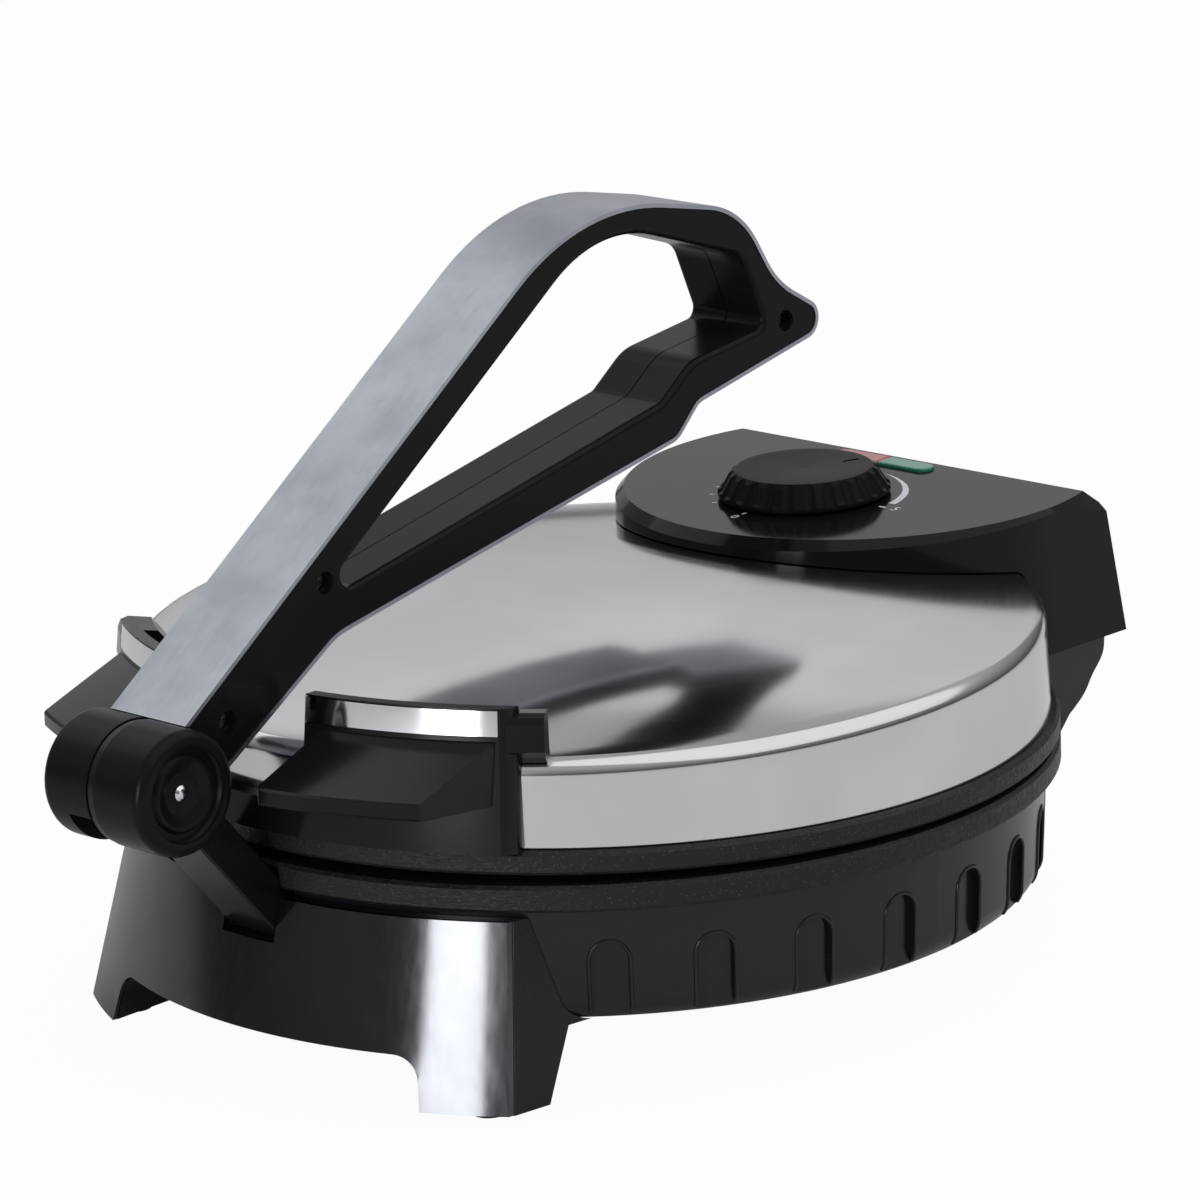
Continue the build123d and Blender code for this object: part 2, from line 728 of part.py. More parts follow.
def upright_edges(piece, radius, slack):
    """The nearly upright edges of a piece that lie at this radius, within a slack."""
    return [e for e in piece.edges() if abs(e.tangent_at(0.5).Z) > 0.9
            and abs(math.hypot(e.center().X, e.center().Y) - radius) < slack]


def bracket_block():
    """The curved block that stands in front of the lid's wall, open in the middle."""
    wall = shell_radius + seat
    inner = wall - bracket_key
    ring = turned([(inner, plate_top + bracket_bottom), on_face(bracket_bottom), on_face(block_top),
                   on_face(block_top, -block_depth), (wall - 3.2, plate_top + block_foot),
                   (inner, plate_top + block_foot - 1.0)], 2.0 * bracket_angle)
    middle = on_face((bracket_bottom + block_top) / 2.0)[0]
    ring = fillet(upright_edges(ring, middle, 1.0), bracket_round)
    gap = bracket_recess_half
    return ring - block((-gap, gap), (-beyond, 0.0), (plate_top, plate_top + beyond))


def trim_groove():
    """The groove across the block's face that holds the two bright strips."""
    low = trim_bottom - trim_clearance
    high = trim_bottom + trim_height + trim_clearance
    return turned([on_face(low, -trim_depth), on_face(low, 9.0), on_face(high, 9.0), on_face(high, -trim_depth)],
                  2.0 * trim_end + 0.6)


def lid_bracket():
    inner = shell_radius + seat - bracket_key
    skirt = turned([(inner, plate_top + bracket_bottom), on_face(bracket_bottom), on_face(bracket_recess_top),
                    (inner, plate_top + bracket_recess_top)], 2.0 * bracket_angle - 8.0)
    bracket = skirt + bracket_block()
    for side in (-1, 1):
        bracket += finger_ledge(side)
        bracket += bracket_lug(side)
    return bracket - trim_groove() - shell_outside(seat) - below_lid(0.0)


def finger_ledge(side):
    """One of the two shelves the lid is lifted by."""
    base = plate_top
    lip = base + ledge_bottom + ledge_lip
    ledge = turned([on_face(ledge_root_bottom, -1.0), on_face(ledge_root_bottom),
                    (ledge_radius - 1.0, base + ledge_bottom), (ledge_radius, base + ledge_bottom + 1.0),
                    (ledge_radius, lip - 0.6), (ledge_radius - 0.8, lip), on_face(ledge_root_top),
                    on_face(ledge_root_top, -1.0)], 80.0)
    x = sorted((side * ledge_inner_x, side * ledge_outer_x))
    ledge &= block(x, (-beyond, 0.0), (base, base + beyond))
    return fillet(upright_edges(ledge, ledge_radius, 0.2), ledge_round)


def bracket_lug(side):
    """The round-ended lug that reaches over the lid's edge."""
    low = plate_top + 30.0
    high = plate_top + lug_over_top
    inner = lug_over_radius
    lug = turned([(inner, low), (inner, high - 5.0), (inner + 4.0, high), (inner + 10.5, high + 0.8),
                  on_face(lug_over_top, -1.0), on_face(lug_over_top - 2.0, -0.4), on_face(34.5, -0.4),
                  (inner + 9.0, low)],
                 lug_over_end - lug_over_start, side * (lug_over_start + lug_over_end) / 2.0)
    return fillet(upright_edges(lug, inner, 0.2), lug_over_round)


def bracket_trim(side):
    top = trim_bottom + trim_height
    strip = turned([on_face(trim_bottom, -trim_depth), on_face(trim_bottom), on_face(top),
                    on_face(top, -trim_depth)], trim_end, side * trim_end / 2.0)
    gap = bracket_recess_half
    return strip - block((-gap, gap), (-beyond, 0.0), (plate_top, plate_top + beyond))


def panel_plane(above):
    """The sloping plane of the control panel, lifted along its own normal."""
    turn = math.radians(panel_slope)
    normal = (0, -math.sin(turn), math.cos(turn))
    z = plate_top + box_top
    return Plane(origin=(0, knob_y + above * normal[1], z + above * normal[2]), x_dir=(1, 0, 0), z_dir=normal)


def box_outline(radius, rear):
    """The box seen from above: a round front, straight sides and a straight back."""
    middle = box_front_y + radius
    front = ThreePointArc((-radius, middle), (0, box_front_y), (radius, middle))
    back = Polyline((radius, middle), (radius, rear), (-radius, rear), (-radius, middle))
    return make_face(Curve() + [front, back])


def panel_form():
    """All that lies under the panel, its 45 degree bevel and its rear edge."""
    deep = 80.0
    cone = turned([(0, -deep), (panel_radius + deep, -deep), (panel_radius, 0), (0, 0)])
    place = panel_plane(0.0).location
    rear = make_face(Polyline((hinge_y + panel_rear - knob_y, 0), (hinge_y + panel_rear - knob_y + deep, -deep),
                              (-beyond, -deep), (-beyond, 0), close=True))
    return (place * Pos(0, box_centre_y - knob_y, 0) * cone) & (place * across(rear, beyond))


def hinge_lug(side):
    """The eye that turns on a hinge pin, beside the drum."""
    near = side * (drum_inner - moving)
    far = side * (drum_inner - moving - lug_width)
    x = sorted((near, far))
    lug = rod(lug_radius, *x, hinge_y, hinge_z)
    lug += block(x, (hinge_y - 2.0, hinge_y + lug_radius), (hinge_z, plate_top + box_bottom + 4.0))
    return lug - Pos(0, 0, upper_plate_under) * Cylinder(plate_radius + seat, 4.0 * upper_plate_thickness)


def control_housing():
    low = plate_top + box_bottom
    foot = Pos(0, 0, low) * box_outline(box_radius, hinge_y + box_rear)
    head = Pos(0, 0, low + box_wall_height) * box_outline(box_top_radius, hinge_y + box_rear_top)
    body = loft([foot, head], ruled=True) & panel_form()
    body -= rod(hinge_hollow_radius, -drum_outer - moving, drum_outer + moving, hinge_y, hinge_z) - block(
        (-drum_inner + moving, drum_inner - moving), (-beyond, beyond), (-beyond, beyond))
    for side in (-1, 1):
        body += hinge_lug(side)
    body -= shell_outside(seat)
    for side in (-1, 1):
        reach = side * (drum_inner - moving - lug_width - 1.6)
        body -= rod(hinge_pin_radius + running, *sorted((side * (drum_outer + moving), reach)), hinge_y, hinge_z)
    body -= control_cavity()
    body -= extrude(panel_plane(0.0) * Circle(shaft_radius + running), -10.0)
    body -= extrude(panel_plane(5.0) * lamp_window(seat * 0.5), -lamp_depth - 5.0 - seat * 0.5)
    return body - inlet_place() * Cylinder(gland_radius - 1.5 + seat * 0.5, 8.0)


def inlet_place():
    draw = (box_rear - box_rear_top) / box_wall_height
    wall = hinge_y + box_rear - draw * (gland_above_plate - box_bottom)
    return Pos(gland_x, wall, plate_top + gland_above_plate) * Rot(X=math.degrees(math.atan(draw)) - 90.0)


def control_cavity():
    """The room for the thermostat, under the panel and open to the lid."""
    floor = plate_top + box_cavity_low
    room = Pos(0, knob_y, floor + 20.0) * Cylinder(box_cavity_radius, 40.0)
    return room - extrude(panel_plane(-box_roof) * Rectangle(beyond, beyond), beyond)


def thermostat():
    body = extrude(panel_plane(-box_roof - seat - thermostat_height) * Circle(thermostat_radius), thermostat_height)
    body -= extrude(panel_plane(-box_roof) * Circle(shaft_radius + running), -thermostat_height - 4.0)
    for side in (-1, 1):
        tab = panel_plane(-box_roof - seat - thermostat_height) * Pos(side * (thermostat_radius + 2.0), 0)
        body += extrude(tab * Rectangle(6.0, 4.0), 1.0)
    return body


def lamp_window(grow):
    """The long opening in the panel that the two lenses fill."""
    return Pos(lamp_centre_x, lamp_y - knob_y) * SlotOverall(2.0 * (lamp_length + grow), lamp_width + 2.0 * grow)


def lamp(side):
    """A lens with one round end; the two meet at a straight joint."""
    half = Pos(lamp_centre_x + side * (seat / 2.0 + lamp_length), lamp_y - knob_y) * Rectangle(
        2.0 * lamp_length, 2.0 * lamp_width)
    outline = lamp_window(0.0) & half
    lens = extrude(panel_plane(lamp_stand) * outline, -lamp_depth - lamp_stand)
    top = lens.faces().sort_by(Axis.Z)[-1]
    return fillet(top.edges(), 0.6)


def cord_gland():
    ring = turned([(gland_bore, -4.0), (gland_radius - 1.5, -4.0), (gland_radius - 1.5, 0), (gland_radius, seat),
                   (gland_radius, 1.6), (gland_radius - 1.2, gland_stand), (gland_bore, gland_stand)])
    return inlet_place() * ring


def knob():
    flange = knob_flange
    top = knob_height
    shoulder = (knob_radius - 1.0, flange + 0.6)
    crest = (knob_top_radius + 0.8, top - 1.2)
    body = turned([(0, knob_gap), (knob_radius - 0.6, knob_gap), (knob_radius, knob_gap + 0.6),
                   (knob_radius, flange), shoulder, crest, (knob_top_radius - 0.8, top),
                   (knob_top_radius - 3.0, top), (0, top - 0.6)])
    lean = math.degrees(math.atan2(shoulder[0] - crest[0], crest[1] - shoulder[1]))
    middle = (shoulder[0] + crest[0]) / 2.0 + (knob_grip_radius - knob_grip_depth) / math.cos(math.radians(lean))
    grip = Pos(middle, 0, (shoulder[1] + crest[1]) / 2.0) * Rot(Y=-lean) * Pos(0, 0, 1.2) * Cylinder(
        knob_grip_radius, top - flange + 1.6)
    for k in range(knob_grips):
        body -= Rot(Z=360.0 * k / knob_grips) * grip
    body -= Cylinder(shaft_radius, 2.0 * (top - knob_socket))
    mark = Pos(knob_top_radius - 6.0, 0, top) * Box(5.0, 1.4, 1.2)
    return panel_plane(0.0).location * (body - Rot(Z=knob_mark_angle) * mark)


def thermostat_shaft():
    length = shaft_length
    shaft = Pos(0, 0, knob_height - knob_socket - length / 2.0) * Cylinder(shaft_radius, length)
    return panel_plane(0.0).location * shaft


# ---------------------------------------------------------------- assembly

def gathered(solids):
    return Compound(children=list(solids)) if isinstance(solids, list) else solids


base_nodes = {
    "base_housing": base_housing(),
    "bottom_cover": bottom_cover(),
    "cover_screws": cover_screws(),
    "front_leg_block": front_leg_block(),
    "front_fascia": front_fascia(),
    "rear_legs": rear_legs(),
    "rubber_feet": rubber_feet(),
    "lower_plate": lower_plate(),
    "lower_element": lower_element(),
    "lower_reflector": lower_reflector(),
    "link_arm": link_arm(),
    "lever_pin": lever_pin(),
    "hinge_housing": hinge_housing(),
    "hinge_pins": hinge_pins(),
    "lever_half_left": lever_half(-1),
    "lever_half_right": lever_half(1),
    "lever_band": lever_band(),
    "lever_screws": lever_screws(),
}

lid_nodes = {
    "upper_plate": upper_plate(),
    "upper_element": upper_element(),
    "upper_reflector": upper_reflector(),
    "lid_shell": lid_shell(),
    "lid_bracket": lid_bracket(),
    "bracket_trim_left": bracket_trim(-1),
    "bracket_trim_right": bracket_trim(1),
    "control_housing": control_housing(),
    "thermostat": thermostat(),
    "green_lens": lamp(1),
    "red_lens": lamp(-1),
    "cord_gland": cord_gland(),
    "knob": knob(),
    "thermostat_shaft": thermostat_shaft(),
}

# The lid is turned about its hinge from shut to its rest position.
hinge_line = Axis((0, hinge_y, hinge_z), (1, 0, 0))
nodes = {name: gathered(piece) for name, piece in base_nodes.items()}
for name, piece in lid_nodes.items():
    nodes[name] = gathered(piece).rotate(hinge_line, -rest_angle)

# The origin is the middle of the whole object's footprint, on the table.
whole = Compound(children=[piece.moved(Location()) for piece in nodes.values()]).bounding_box()
origin_y = (whole.min.Y + whole.max.Y) / 2.0
to_origin = Location((0, -origin_y, 0))

for name, piece in nodes.items():
    export_step(piece.moved(to_origin), "parts/" + name + ".step")

print("size", [round(v, 2) for v in (whole.size.X, whole.size.Y, whole.size.Z)], "lowest", round(whole.min.Z, 3))
print("origin y", round(origin_y, 4))
print("hinge", round(hinge_y - origin_y, 3), round(hinge_z, 3))
print("pivot", round(pivot_y - origin_y, 3), round(pivot_z, 3))
turn = math.radians(rest_angle)
ahead = knob_y - hinge_y
above = plate_top + box_top - hinge_z
print("knob", round(hinge_y + ahead * math.cos(turn) + above * math.sin(turn) - origin_y, 3),
      round(hinge_z - ahead * math.sin(turn) + above * math.cos(turn), 3), "tilt", round(panel_slope - rest_angle, 3))
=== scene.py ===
import bpy
import math
from mathutils import Matrix, Vector


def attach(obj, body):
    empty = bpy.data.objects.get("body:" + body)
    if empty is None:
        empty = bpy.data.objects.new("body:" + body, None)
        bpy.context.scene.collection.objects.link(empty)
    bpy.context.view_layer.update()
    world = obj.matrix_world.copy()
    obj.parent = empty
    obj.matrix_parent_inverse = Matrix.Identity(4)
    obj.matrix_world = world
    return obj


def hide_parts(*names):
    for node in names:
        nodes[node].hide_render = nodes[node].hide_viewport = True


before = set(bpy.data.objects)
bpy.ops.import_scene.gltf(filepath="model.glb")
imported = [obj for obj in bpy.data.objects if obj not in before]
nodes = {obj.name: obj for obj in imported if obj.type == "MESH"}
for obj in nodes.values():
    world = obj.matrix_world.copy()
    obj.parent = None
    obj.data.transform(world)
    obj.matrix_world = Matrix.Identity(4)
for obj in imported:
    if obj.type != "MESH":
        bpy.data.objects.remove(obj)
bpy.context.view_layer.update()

bpy.ops.object.select_all(action='DESELECT')

# the plates' upright axis stands this far behind the origin, and the new pieces are placed from it
plateAxis = Vector((0.0, 0.0190419))

# camera
camera = {
    "place": (1.1398, -1.1554581, 0.5577),
    "right": (0.7264, 0.6861, -0.0405),
    "up": (-0.1555, 0.2215, 0.9627),
    "lens": 180.0,
    "sensor": 36.0,
    "reach": 20.0,
}


def addCamera(values):
    data = bpy.data.cameras.new("camera")
    data.lens = values["lens"]
    data.sensor_width = values["sensor"]
    data.clip_end = values["reach"]
    cam = bpy.data.objects.new("camera", data)
    bpy.context.scene.collection.objects.link(cam)
    right = Vector(values["right"]).normalized()
    back = right.cross(Vector(values["up"])).normalized()
    up = back.cross(right)
    cam.matrix_world = Matrix((
        (right.x, up.x, back.x, values["place"][0]),
        (right.y, up.y, back.y, values["place"][1]),
        (right.z, up.z, back.z, values["place"][2]),
        (0, 0, 0, 1)))
    bpy.context.scene.camera = cam


addCamera(camera)
print("camera set")

# studio: floor, world and lamps
studio = {
    "floorSize": 8.0,
    "floorColor": (0.86, 0.86, 0.86, 1),
    "floorWhite": 0.96,      # share of plain white that the camera sees in the floor
    "worldLight": 0.50,
    "horizon": (0.16, 0.16, 0.17, 1),
    "skyTurn": 0.60,         # height of the direction from which the world is at full strength
    "lamps": [
        # name, place, aim, width, height, watts
        ("backSoftbox", (-1.05, 1.15, 0.62), (0, 0.0, 0.12), 1.7, 1.0, 2.05),
        ("bandSoftbox", (-1.10, -0.05, 1.25), (0, 0, 0.15), 1.0, 1.0, 2.0),
        ("frontStrip", (0.310, -1.40, 0.27), (0.03, -0.05, 0.06), 0.33, 0.50, 5.3),
        ("sideGlow", (0.66, 0.32, 0.85), (0.40, 0.25, 0.0), 1.7, 1.5, 5.6),
    ],
}


def addFloor(values):
    bpy.ops.mesh.primitive_plane_add(size=values["floorSize"], location=(0, 0, 0))
    floor = bpy.context.object
    floor.name = "floor"
    mat = bpy.data.materials.new("floorPaper")
    mat.use_nodes = True
    tree = mat.node_tree
    tree.nodes.clear()
    out = tree.nodes.new("ShaderNodeOutputMaterial")
    paper = tree.nodes.new("ShaderNodeBsdfDiffuse")
    paper.inputs["Color"].default_value = values["floorColor"]
    white = tree.nodes.new("ShaderNodeEmission")
    white.inputs["Strength"].default_value = 1.0
    ray = tree.nodes.new("ShaderNodeLightPath")
    share = tree.nodes.new("ShaderNodeMath")
    share.operation = 'MULTIPLY'
    share.inputs[1].default_value = values["floorWhite"]
    mix = tree.nodes.new("ShaderNodeMixShader")
    tree.links.new(ray.outputs["Is Camera Ray"], share.inputs[0])
    tree.links.new(share.outputs[0], mix.inputs[0])
    tree.links.new(paper.outputs[0], mix.inputs[1])
    tree.links.new(white.outputs[0], mix.inputs[2])
    tree.links.new(mix.outputs[0], out.inputs["Surface"])
    floor.data.materials.append(mat)


def addWorld(values):
    world = bpy.data.worlds.new("studio")
    bpy.context.scene.world = world
    world.use_nodes = True
    tree = world.node_tree
    tree.nodes.clear()
    out = tree.nodes.new("ShaderNodeOutputWorld")
    light = tree.nodes.new("ShaderNodeBackground")
    light.inputs["Strength"].default_value = values["worldLight"]
    seen = tree.nodes.new("ShaderNodeBackground")
    seen.inputs["Color"].default_value = (1, 1, 1, 1)
    ray = tree.nodes.new("ShaderNodeLightPath")
    mix = tree.nodes.new("ShaderNodeMixShader")
    # darker towards the horizon, so that polished metal shows a gradient
    spot = tree.nodes.new("ShaderNodeTexCoord")
    split = tree.nodes.new("ShaderNodeSeparateXYZ")
    ramp = tree.nodes.new("ShaderNodeValToRGB")
    ramp.color_ramp.elements[0].position = 0.0
    ramp.color_ramp.elements[0].color = values["horizon"]
    ramp.color_ramp.elements[1].position = values["skyTurn"]
    ramp.color_ramp.elements[1].color = (1, 1, 1, 1)
    tree.links.new(spot.outputs["Generated"], split.inputs[0])
    tree.links.new(split.outputs["Z"], ramp.inputs[0])
    tree.links.new(ramp.outputs[0], light.inputs["Color"])
    tree.links.new(ray.outputs["Is Camera Ray"], mix.inputs[0])
    tree.links.new(light.outputs[0], mix.inputs[1])
    tree.links.new(seen.outputs[0], mix.inputs[2])
    tree.links.new(mix.outputs[0], out.inputs["Surface"])


def addLamps(values):
    for name, place, aim, width, height, watts in values["lamps"]:
        data = bpy.data.lights.new(name, 'AREA')
        data.shape = 'RECTANGLE'
        data.size = width
        data.size_y = height
        data.energy = watts
        lamp = bpy.data.objects.new(name, data)
        lamp.location = place
        lamp.rotation_euler = (Vector(aim) - Vector(place)).to_track_quat('-Z', 'Y').to_euler()
        bpy.context.scene.collection.objects.link(lamp)


addFloor(studio)
addWorld(studio)
addLamps(studio)
bpy.context.scene.view_settings.view_transform = 'Standard'
print("studio set")

# finishes
finishes = {
    "blackPlastic": {
        "color": (0.006, 0.006, 0.0065),
        "rough": 0.26, "specular": 0.09, "grain": 900.0, "bump": 0.08},
    "bracketPlastic": {
        "color": (0.005, 0.005, 0.0055),
        "rough": 0.15, "specular": 0.20, "grain": 800.0, "bump": 0.04},
    "glossPlastic": {
        "color": (0.005, 0.005, 0.0055),
        "rough": 0.10, "specular": 0.14, "grain": 400.0, "bump": 0.016},
    "bowlPlastic": {
        "color": (0.0075, 0.0078, 0.0115),
        "rough": 0.20, "specular": 0.34, "grain": 1100.0, "bump": 0.08},
    "knobPlastic": {
        "color": (0.006, 0.006, 0.0065),
        "rough": 0.36, "specular": 0.05, "grain": 1300.0, "bump": 0.20},
    "footRubber": {
        "color": (0.014, 0.014, 0.014),
        "rough": 0.7, "specular": 0.2, "grain": 1200.0, "bump": 0.40},
    "armPaint": {
        "color": (0.006, 0.006, 0.007),
        "rough": 0.22, "specular": 0.25, "grain": 700.0, "bump": 0.08},
    "plainSteel": {
        "color": (0.42, 0.43, 0.44),
        "rough": 0.32, "metal": 1.0, "grain": 500.0, "bump": 0.08},
    "brightMetal": {
        "color": (0.60, 0.61, 0.63),
        "rough": 0.075, "metal": 1.0, "grain": 300.0, "bump": 0.012},
    "dialPaint": {
        "color": (0.62, 0.64, 0.67),
        "rough": 0.45, "specular": 0.3, "grain": 900.0, "bump": 0.08},
}


def newMaterial(name):
    mat = bpy.data.materials.new(name)
    mat.use_nodes = True
    tree = mat.node_tree
    shader = tree.nodes["Principled BSDF"]
    return mat, tree, shader


def link(tree, source, target):
    tree.links.new(source, target)


def noiseNode(tree, vector, scale, detail=3.0, rough=0.5):
    noise = tree.nodes.new("ShaderNodeTexNoise")
    noise.inputs["Scale"].default_value = scale
    noise.inputs["Detail"].default_value = detail
    noise.inputs["Roughness"].default_value = rough
    link(tree, vector, noise.inputs["Vector"])
    return noise.outputs["Fac"]


def rangeNode(tree, value, low, high, fromLow=0.3, fromHigh=0.7):
    span = tree.nodes.new("ShaderNodeMapRange")
    span.inputs["From Min"].default_value = fromLow
    span.inputs["From Max"].default_value = fromHigh
    span.inputs["To Min"].default_value = low
    span.inputs["To Max"].default_value = high
    link(tree, value, span.inputs["Value"])
    return span.outputs["Result"]


def paler(color, change):
    times, plus = change
    return tuple(min(1.0, c * times + plus) for c in color)


def mixColors(tree, factor, first, second):
    mix = tree.nodes.new("ShaderNodeMix")
    mix.data_type = 'RGBA'
    mix.inputs["A"].default_value = (*first, 1)
    mix.inputs["B"].default_value = (*second, 1)
    link(tree, factor, mix.inputs["Factor"])
    return mix.outputs["Result"]


def bumpNode(tree, height, strength, depth):
    bump = tree.nodes.new("ShaderNodeBump")
    bump.inputs["Strength"].default_value = strength
    bump.inputs["Distance"].default_value = depth
    link(tree, height, bump.inputs["Height"])
    return bump.outputs["Normal"]


def objectCoords(tree, scale=(1, 1, 1)):
    coords = tree.nodes.new("ShaderNodeTexCoord")
    if scale == (1, 1, 1):
        return coords.outputs["Object"]
    mapping = tree.nodes.new("ShaderNodeMapping")
    mapping.inputs["Scale"].default_value = scale
    link(tree, coords.outputs["Object"], mapping.inputs["Vector"])
    return mapping.outputs["Vector"]


surface = {
    "cloudScale": 22.0,           # broad patches
    "cloudDetail": 2.0,
    "paler": (1.25, 0.001),       # the pale patches' colour: times this, plus this
    "glossSpread": (0.88, 1.14),
    "bumpDepth": 0.0002,
}


# moulded plastic, rubber, paint and plain metal: fine grain, and broad soft changes of colour and gloss
def plainFinish(name, values):
    mat, tree, shader = newMaterial(name)
    coords = objectCoords(tree)
    grain = noiseNode(tree, coords, values["grain"])
    cloud = noiseNode(tree, coords, surface["cloudScale"], surface["cloudDetail"])
    color = values["color"]
    link(tree, mixColors(tree, cloud, color, paler(color, surface["paler"])), shader.inputs["Base Color"])
    smooth, dull = surface["glossSpread"]
    glossy = rangeNode(tree, cloud, values["rough"] * smooth, values["rough"] * dull)
    link(tree, glossy, shader.inputs["Roughness"])
    shader.inputs["Metallic"].default_value = values.get("metal", 0.0)
    shader.inputs["Specular IOR Level"].default_value = values.get("specular", 0.5)
    link(tree, bumpNode(tree, grain, values["bump"], surface["bumpDepth"]), shader.inputs["Normal"])
    return mat


finish = {name: plainFinish(name, values) for name, values in finishes.items()}

lidSteel = {
    "color": (0.655, 0.665, 0.690),
    "dark": (0.565, 0.562, 0.565),
    "rough": (0.105, 0.16),
    "anisotropy": 0.60,
    "rings": (1600.0, 0.5, 1600.0),      # fine rings round the plates' axis
    "ringDetail": (4.0, 0.6),
    "stainScale": 12.0,
    "stainEdges": (0.34, 0.62),          # where in the noise a stain starts and is full
    "bump": 0.02,
    "bumpDepth": 0.00005,
}
bandSilver = {
    "color": (0.45, 0.47, 0.52),
    "dark": (0.35, 0.37, 0.42),
    "rough": (0.34, 0.42),
    "brush": (1400.0, 60.0, 60.0),       # lines along the band
    "blotchScale": 35.0,
    "bump": 0.05,
    "bumpDepth": 0.0001,
}
# the fascia is chrome: its dark colour, with darker random blotches, is painted reflection of dark
# surroundings; its bright upright highlight comes from the frontStrip lamp
fasciaPaintedDarkReflection = {
    "color": (0.105, 0.108, 0.115),
    "dark": (0.070, 0.072, 0.078),
    "rough": (0.10, 0.14),
    "brush": (500.0, 500.0, 12.0),       # upright lines
    "blotchScale": 12.0,
    "bump": 0.03,
    "bumpDepth": 0.0001,
}
brushing = {
    "detail": (4.0, 0.6),
    "blotchEdges": (0.36, 0.64),
}


# coordinates that run round the Z axis: radius, angle and height, so that noise follows a spun surface
def spunCoords(tree, centre, scale):
    coords = tree.nodes.new("ShaderNodeTexCoord")
    shift = tree.nodes.new("ShaderNodeVectorMath")
    shift.operation = 'SUBTRACT'
    shift.inputs[1].default_value = (centre.x, centre.y, 0)
    split = tree.nodes.new("ShaderNodeSeparateXYZ")
    angle = tree.nodes.new("ShaderNodeMath")
    angle.operation = 'ARCTAN2'
    away = tree.nodes.new("ShaderNodeVectorMath")
    away.operation = 'LENGTH'
    flat = tree.nodes.new("ShaderNodeVectorMath")
    flat.operation = 'MULTIPLY'
    flat.inputs[1].default_value = (1, 1, 0)
    join = tree.nodes.new("ShaderNodeCombineXYZ")
    mapping = tree.nodes.new("ShaderNodeMapping")
    mapping.inputs["Scale"].default_value = scale
    link(tree, coords.outputs["Object"], shift.inputs[0])
    link(tree, shift.outputs[0], split.inputs[0])
    link(tree, shift.outputs[0], flat.inputs[0])
    link(tree, flat.outputs[0], away.inputs[0])
    link(tree, split.outputs["Y"], angle.inputs[0])
    link(tree, split.outputs["X"], angle.inputs[1])
    link(tree, away.outputs["Value"], join.inputs["X"])
    link(tree, angle.outputs[0], join.inputs["Y"])
    link(tree, split.outputs["Z"], join.inputs["Z"])
    link(tree, join.outputs[0], mapping.inputs["Vector"])
    return mapping.outputs["Vector"]


def spunSteel(name, values):
    mat, tree, shader = newMaterial(name)
    rings = noiseNode(tree, spunCoords(tree, plateAxis, values["rings"]), 1.0, *values["ringDetail"])
    clouds = noiseNode(tree, objectCoords(tree), values["stainScale"])
    stain = rangeNode(tree, clouds, 0.0, 1.0, *values["stainEdges"])
    link(tree, mixColors(tree, stain, values["dark"], values["color"]), shader.inputs["Base Color"])
    smooth, dull = values["rough"]
    blend = tree.nodes.new("ShaderNodeMath")
    blend.operation = 'ADD'
    link(tree, rangeNode(tree, rings, smooth * 0.5, dull * 0.5), blend.inputs[0])
    link(tree, rangeNode(tree, clouds, smooth * 0.5, dull * 0.5), blend.inputs[1])
    link(tree, blend.outputs[0], shader.inputs["Roughness"])
    shader.inputs["Metallic"].default_value = 1.0
    shader.inputs["Anisotropic"].default_value = values["anisotropy"]
    tangent = tree.nodes.new("ShaderNodeTangent")
    tangent.direction_type = 'RADIAL'
    tangent.axis = 'Z'
    link(tree, tangent.outputs[0], shader.inputs["Tangent"])
    link(tree, bumpNode(tree, rings, values["bump"], values["bumpDepth"]), shader.inputs["Normal"])
    return mat


# brushed strip: the lines follow the stretch of the noise
def stripSteel(name, values):
    mat, tree, shader = newMaterial(name)
    lines = noiseNode(tree, objectCoords(tree, values["brush"]), 1.0, *brushing["detail"])
    clouds = noiseNode(tree, objectCoords(tree), values["blotchScale"], *brushing["detail"])
    blotches = rangeNode(tree, clouds, 0.0, 1.0, *brushing["blotchEdges"])
    link(tree, mixColors(tree, blotches, values["dark"], values["color"]), shader.inputs["Base Color"])
    link(tree, rangeNode(tree, lines, *values["rough"]), shader.inputs["Roughness"])
    shader.inputs["Metallic"].default_value = 1.0
    link(tree, bumpNode(tree, lines, values["bump"], values["bumpDepth"]), shader.inputs["Normal"])
    return mat


finish["lidSteel"] = spunSteel("lidSteel", lidSteel)
finish["bandSilver"] = stripSteel("bandSilver", bandSilver)
# the fascia's material carries the painted dark reflection
finish["fasciaPaintedDarkReflection"] = stripSteel("fasciaPaintedDarkReflection", fasciaPaintedDarkReflection)

coating = {
    "base": (0.010, 0.010, 0.0105),
    "fleck": (0.050, 0.050, 0.055),
    "rough": (0.38, 0.58),
    "specular": 0.3,
    "speckScale": 900.0,
    "speckEdges": (0.10, 0.24),          # distances from a speck's middle where it is full and gone
    "pebbleScale": 650.0,
    "scores": (900.0, 42.0, 1500.0),     # the cast surface is scored round the plates' axis
    "scoreDetail": (3.0, 0.6),
    "bump": 0.6,
    "bumpDepth": 0.0004,
}


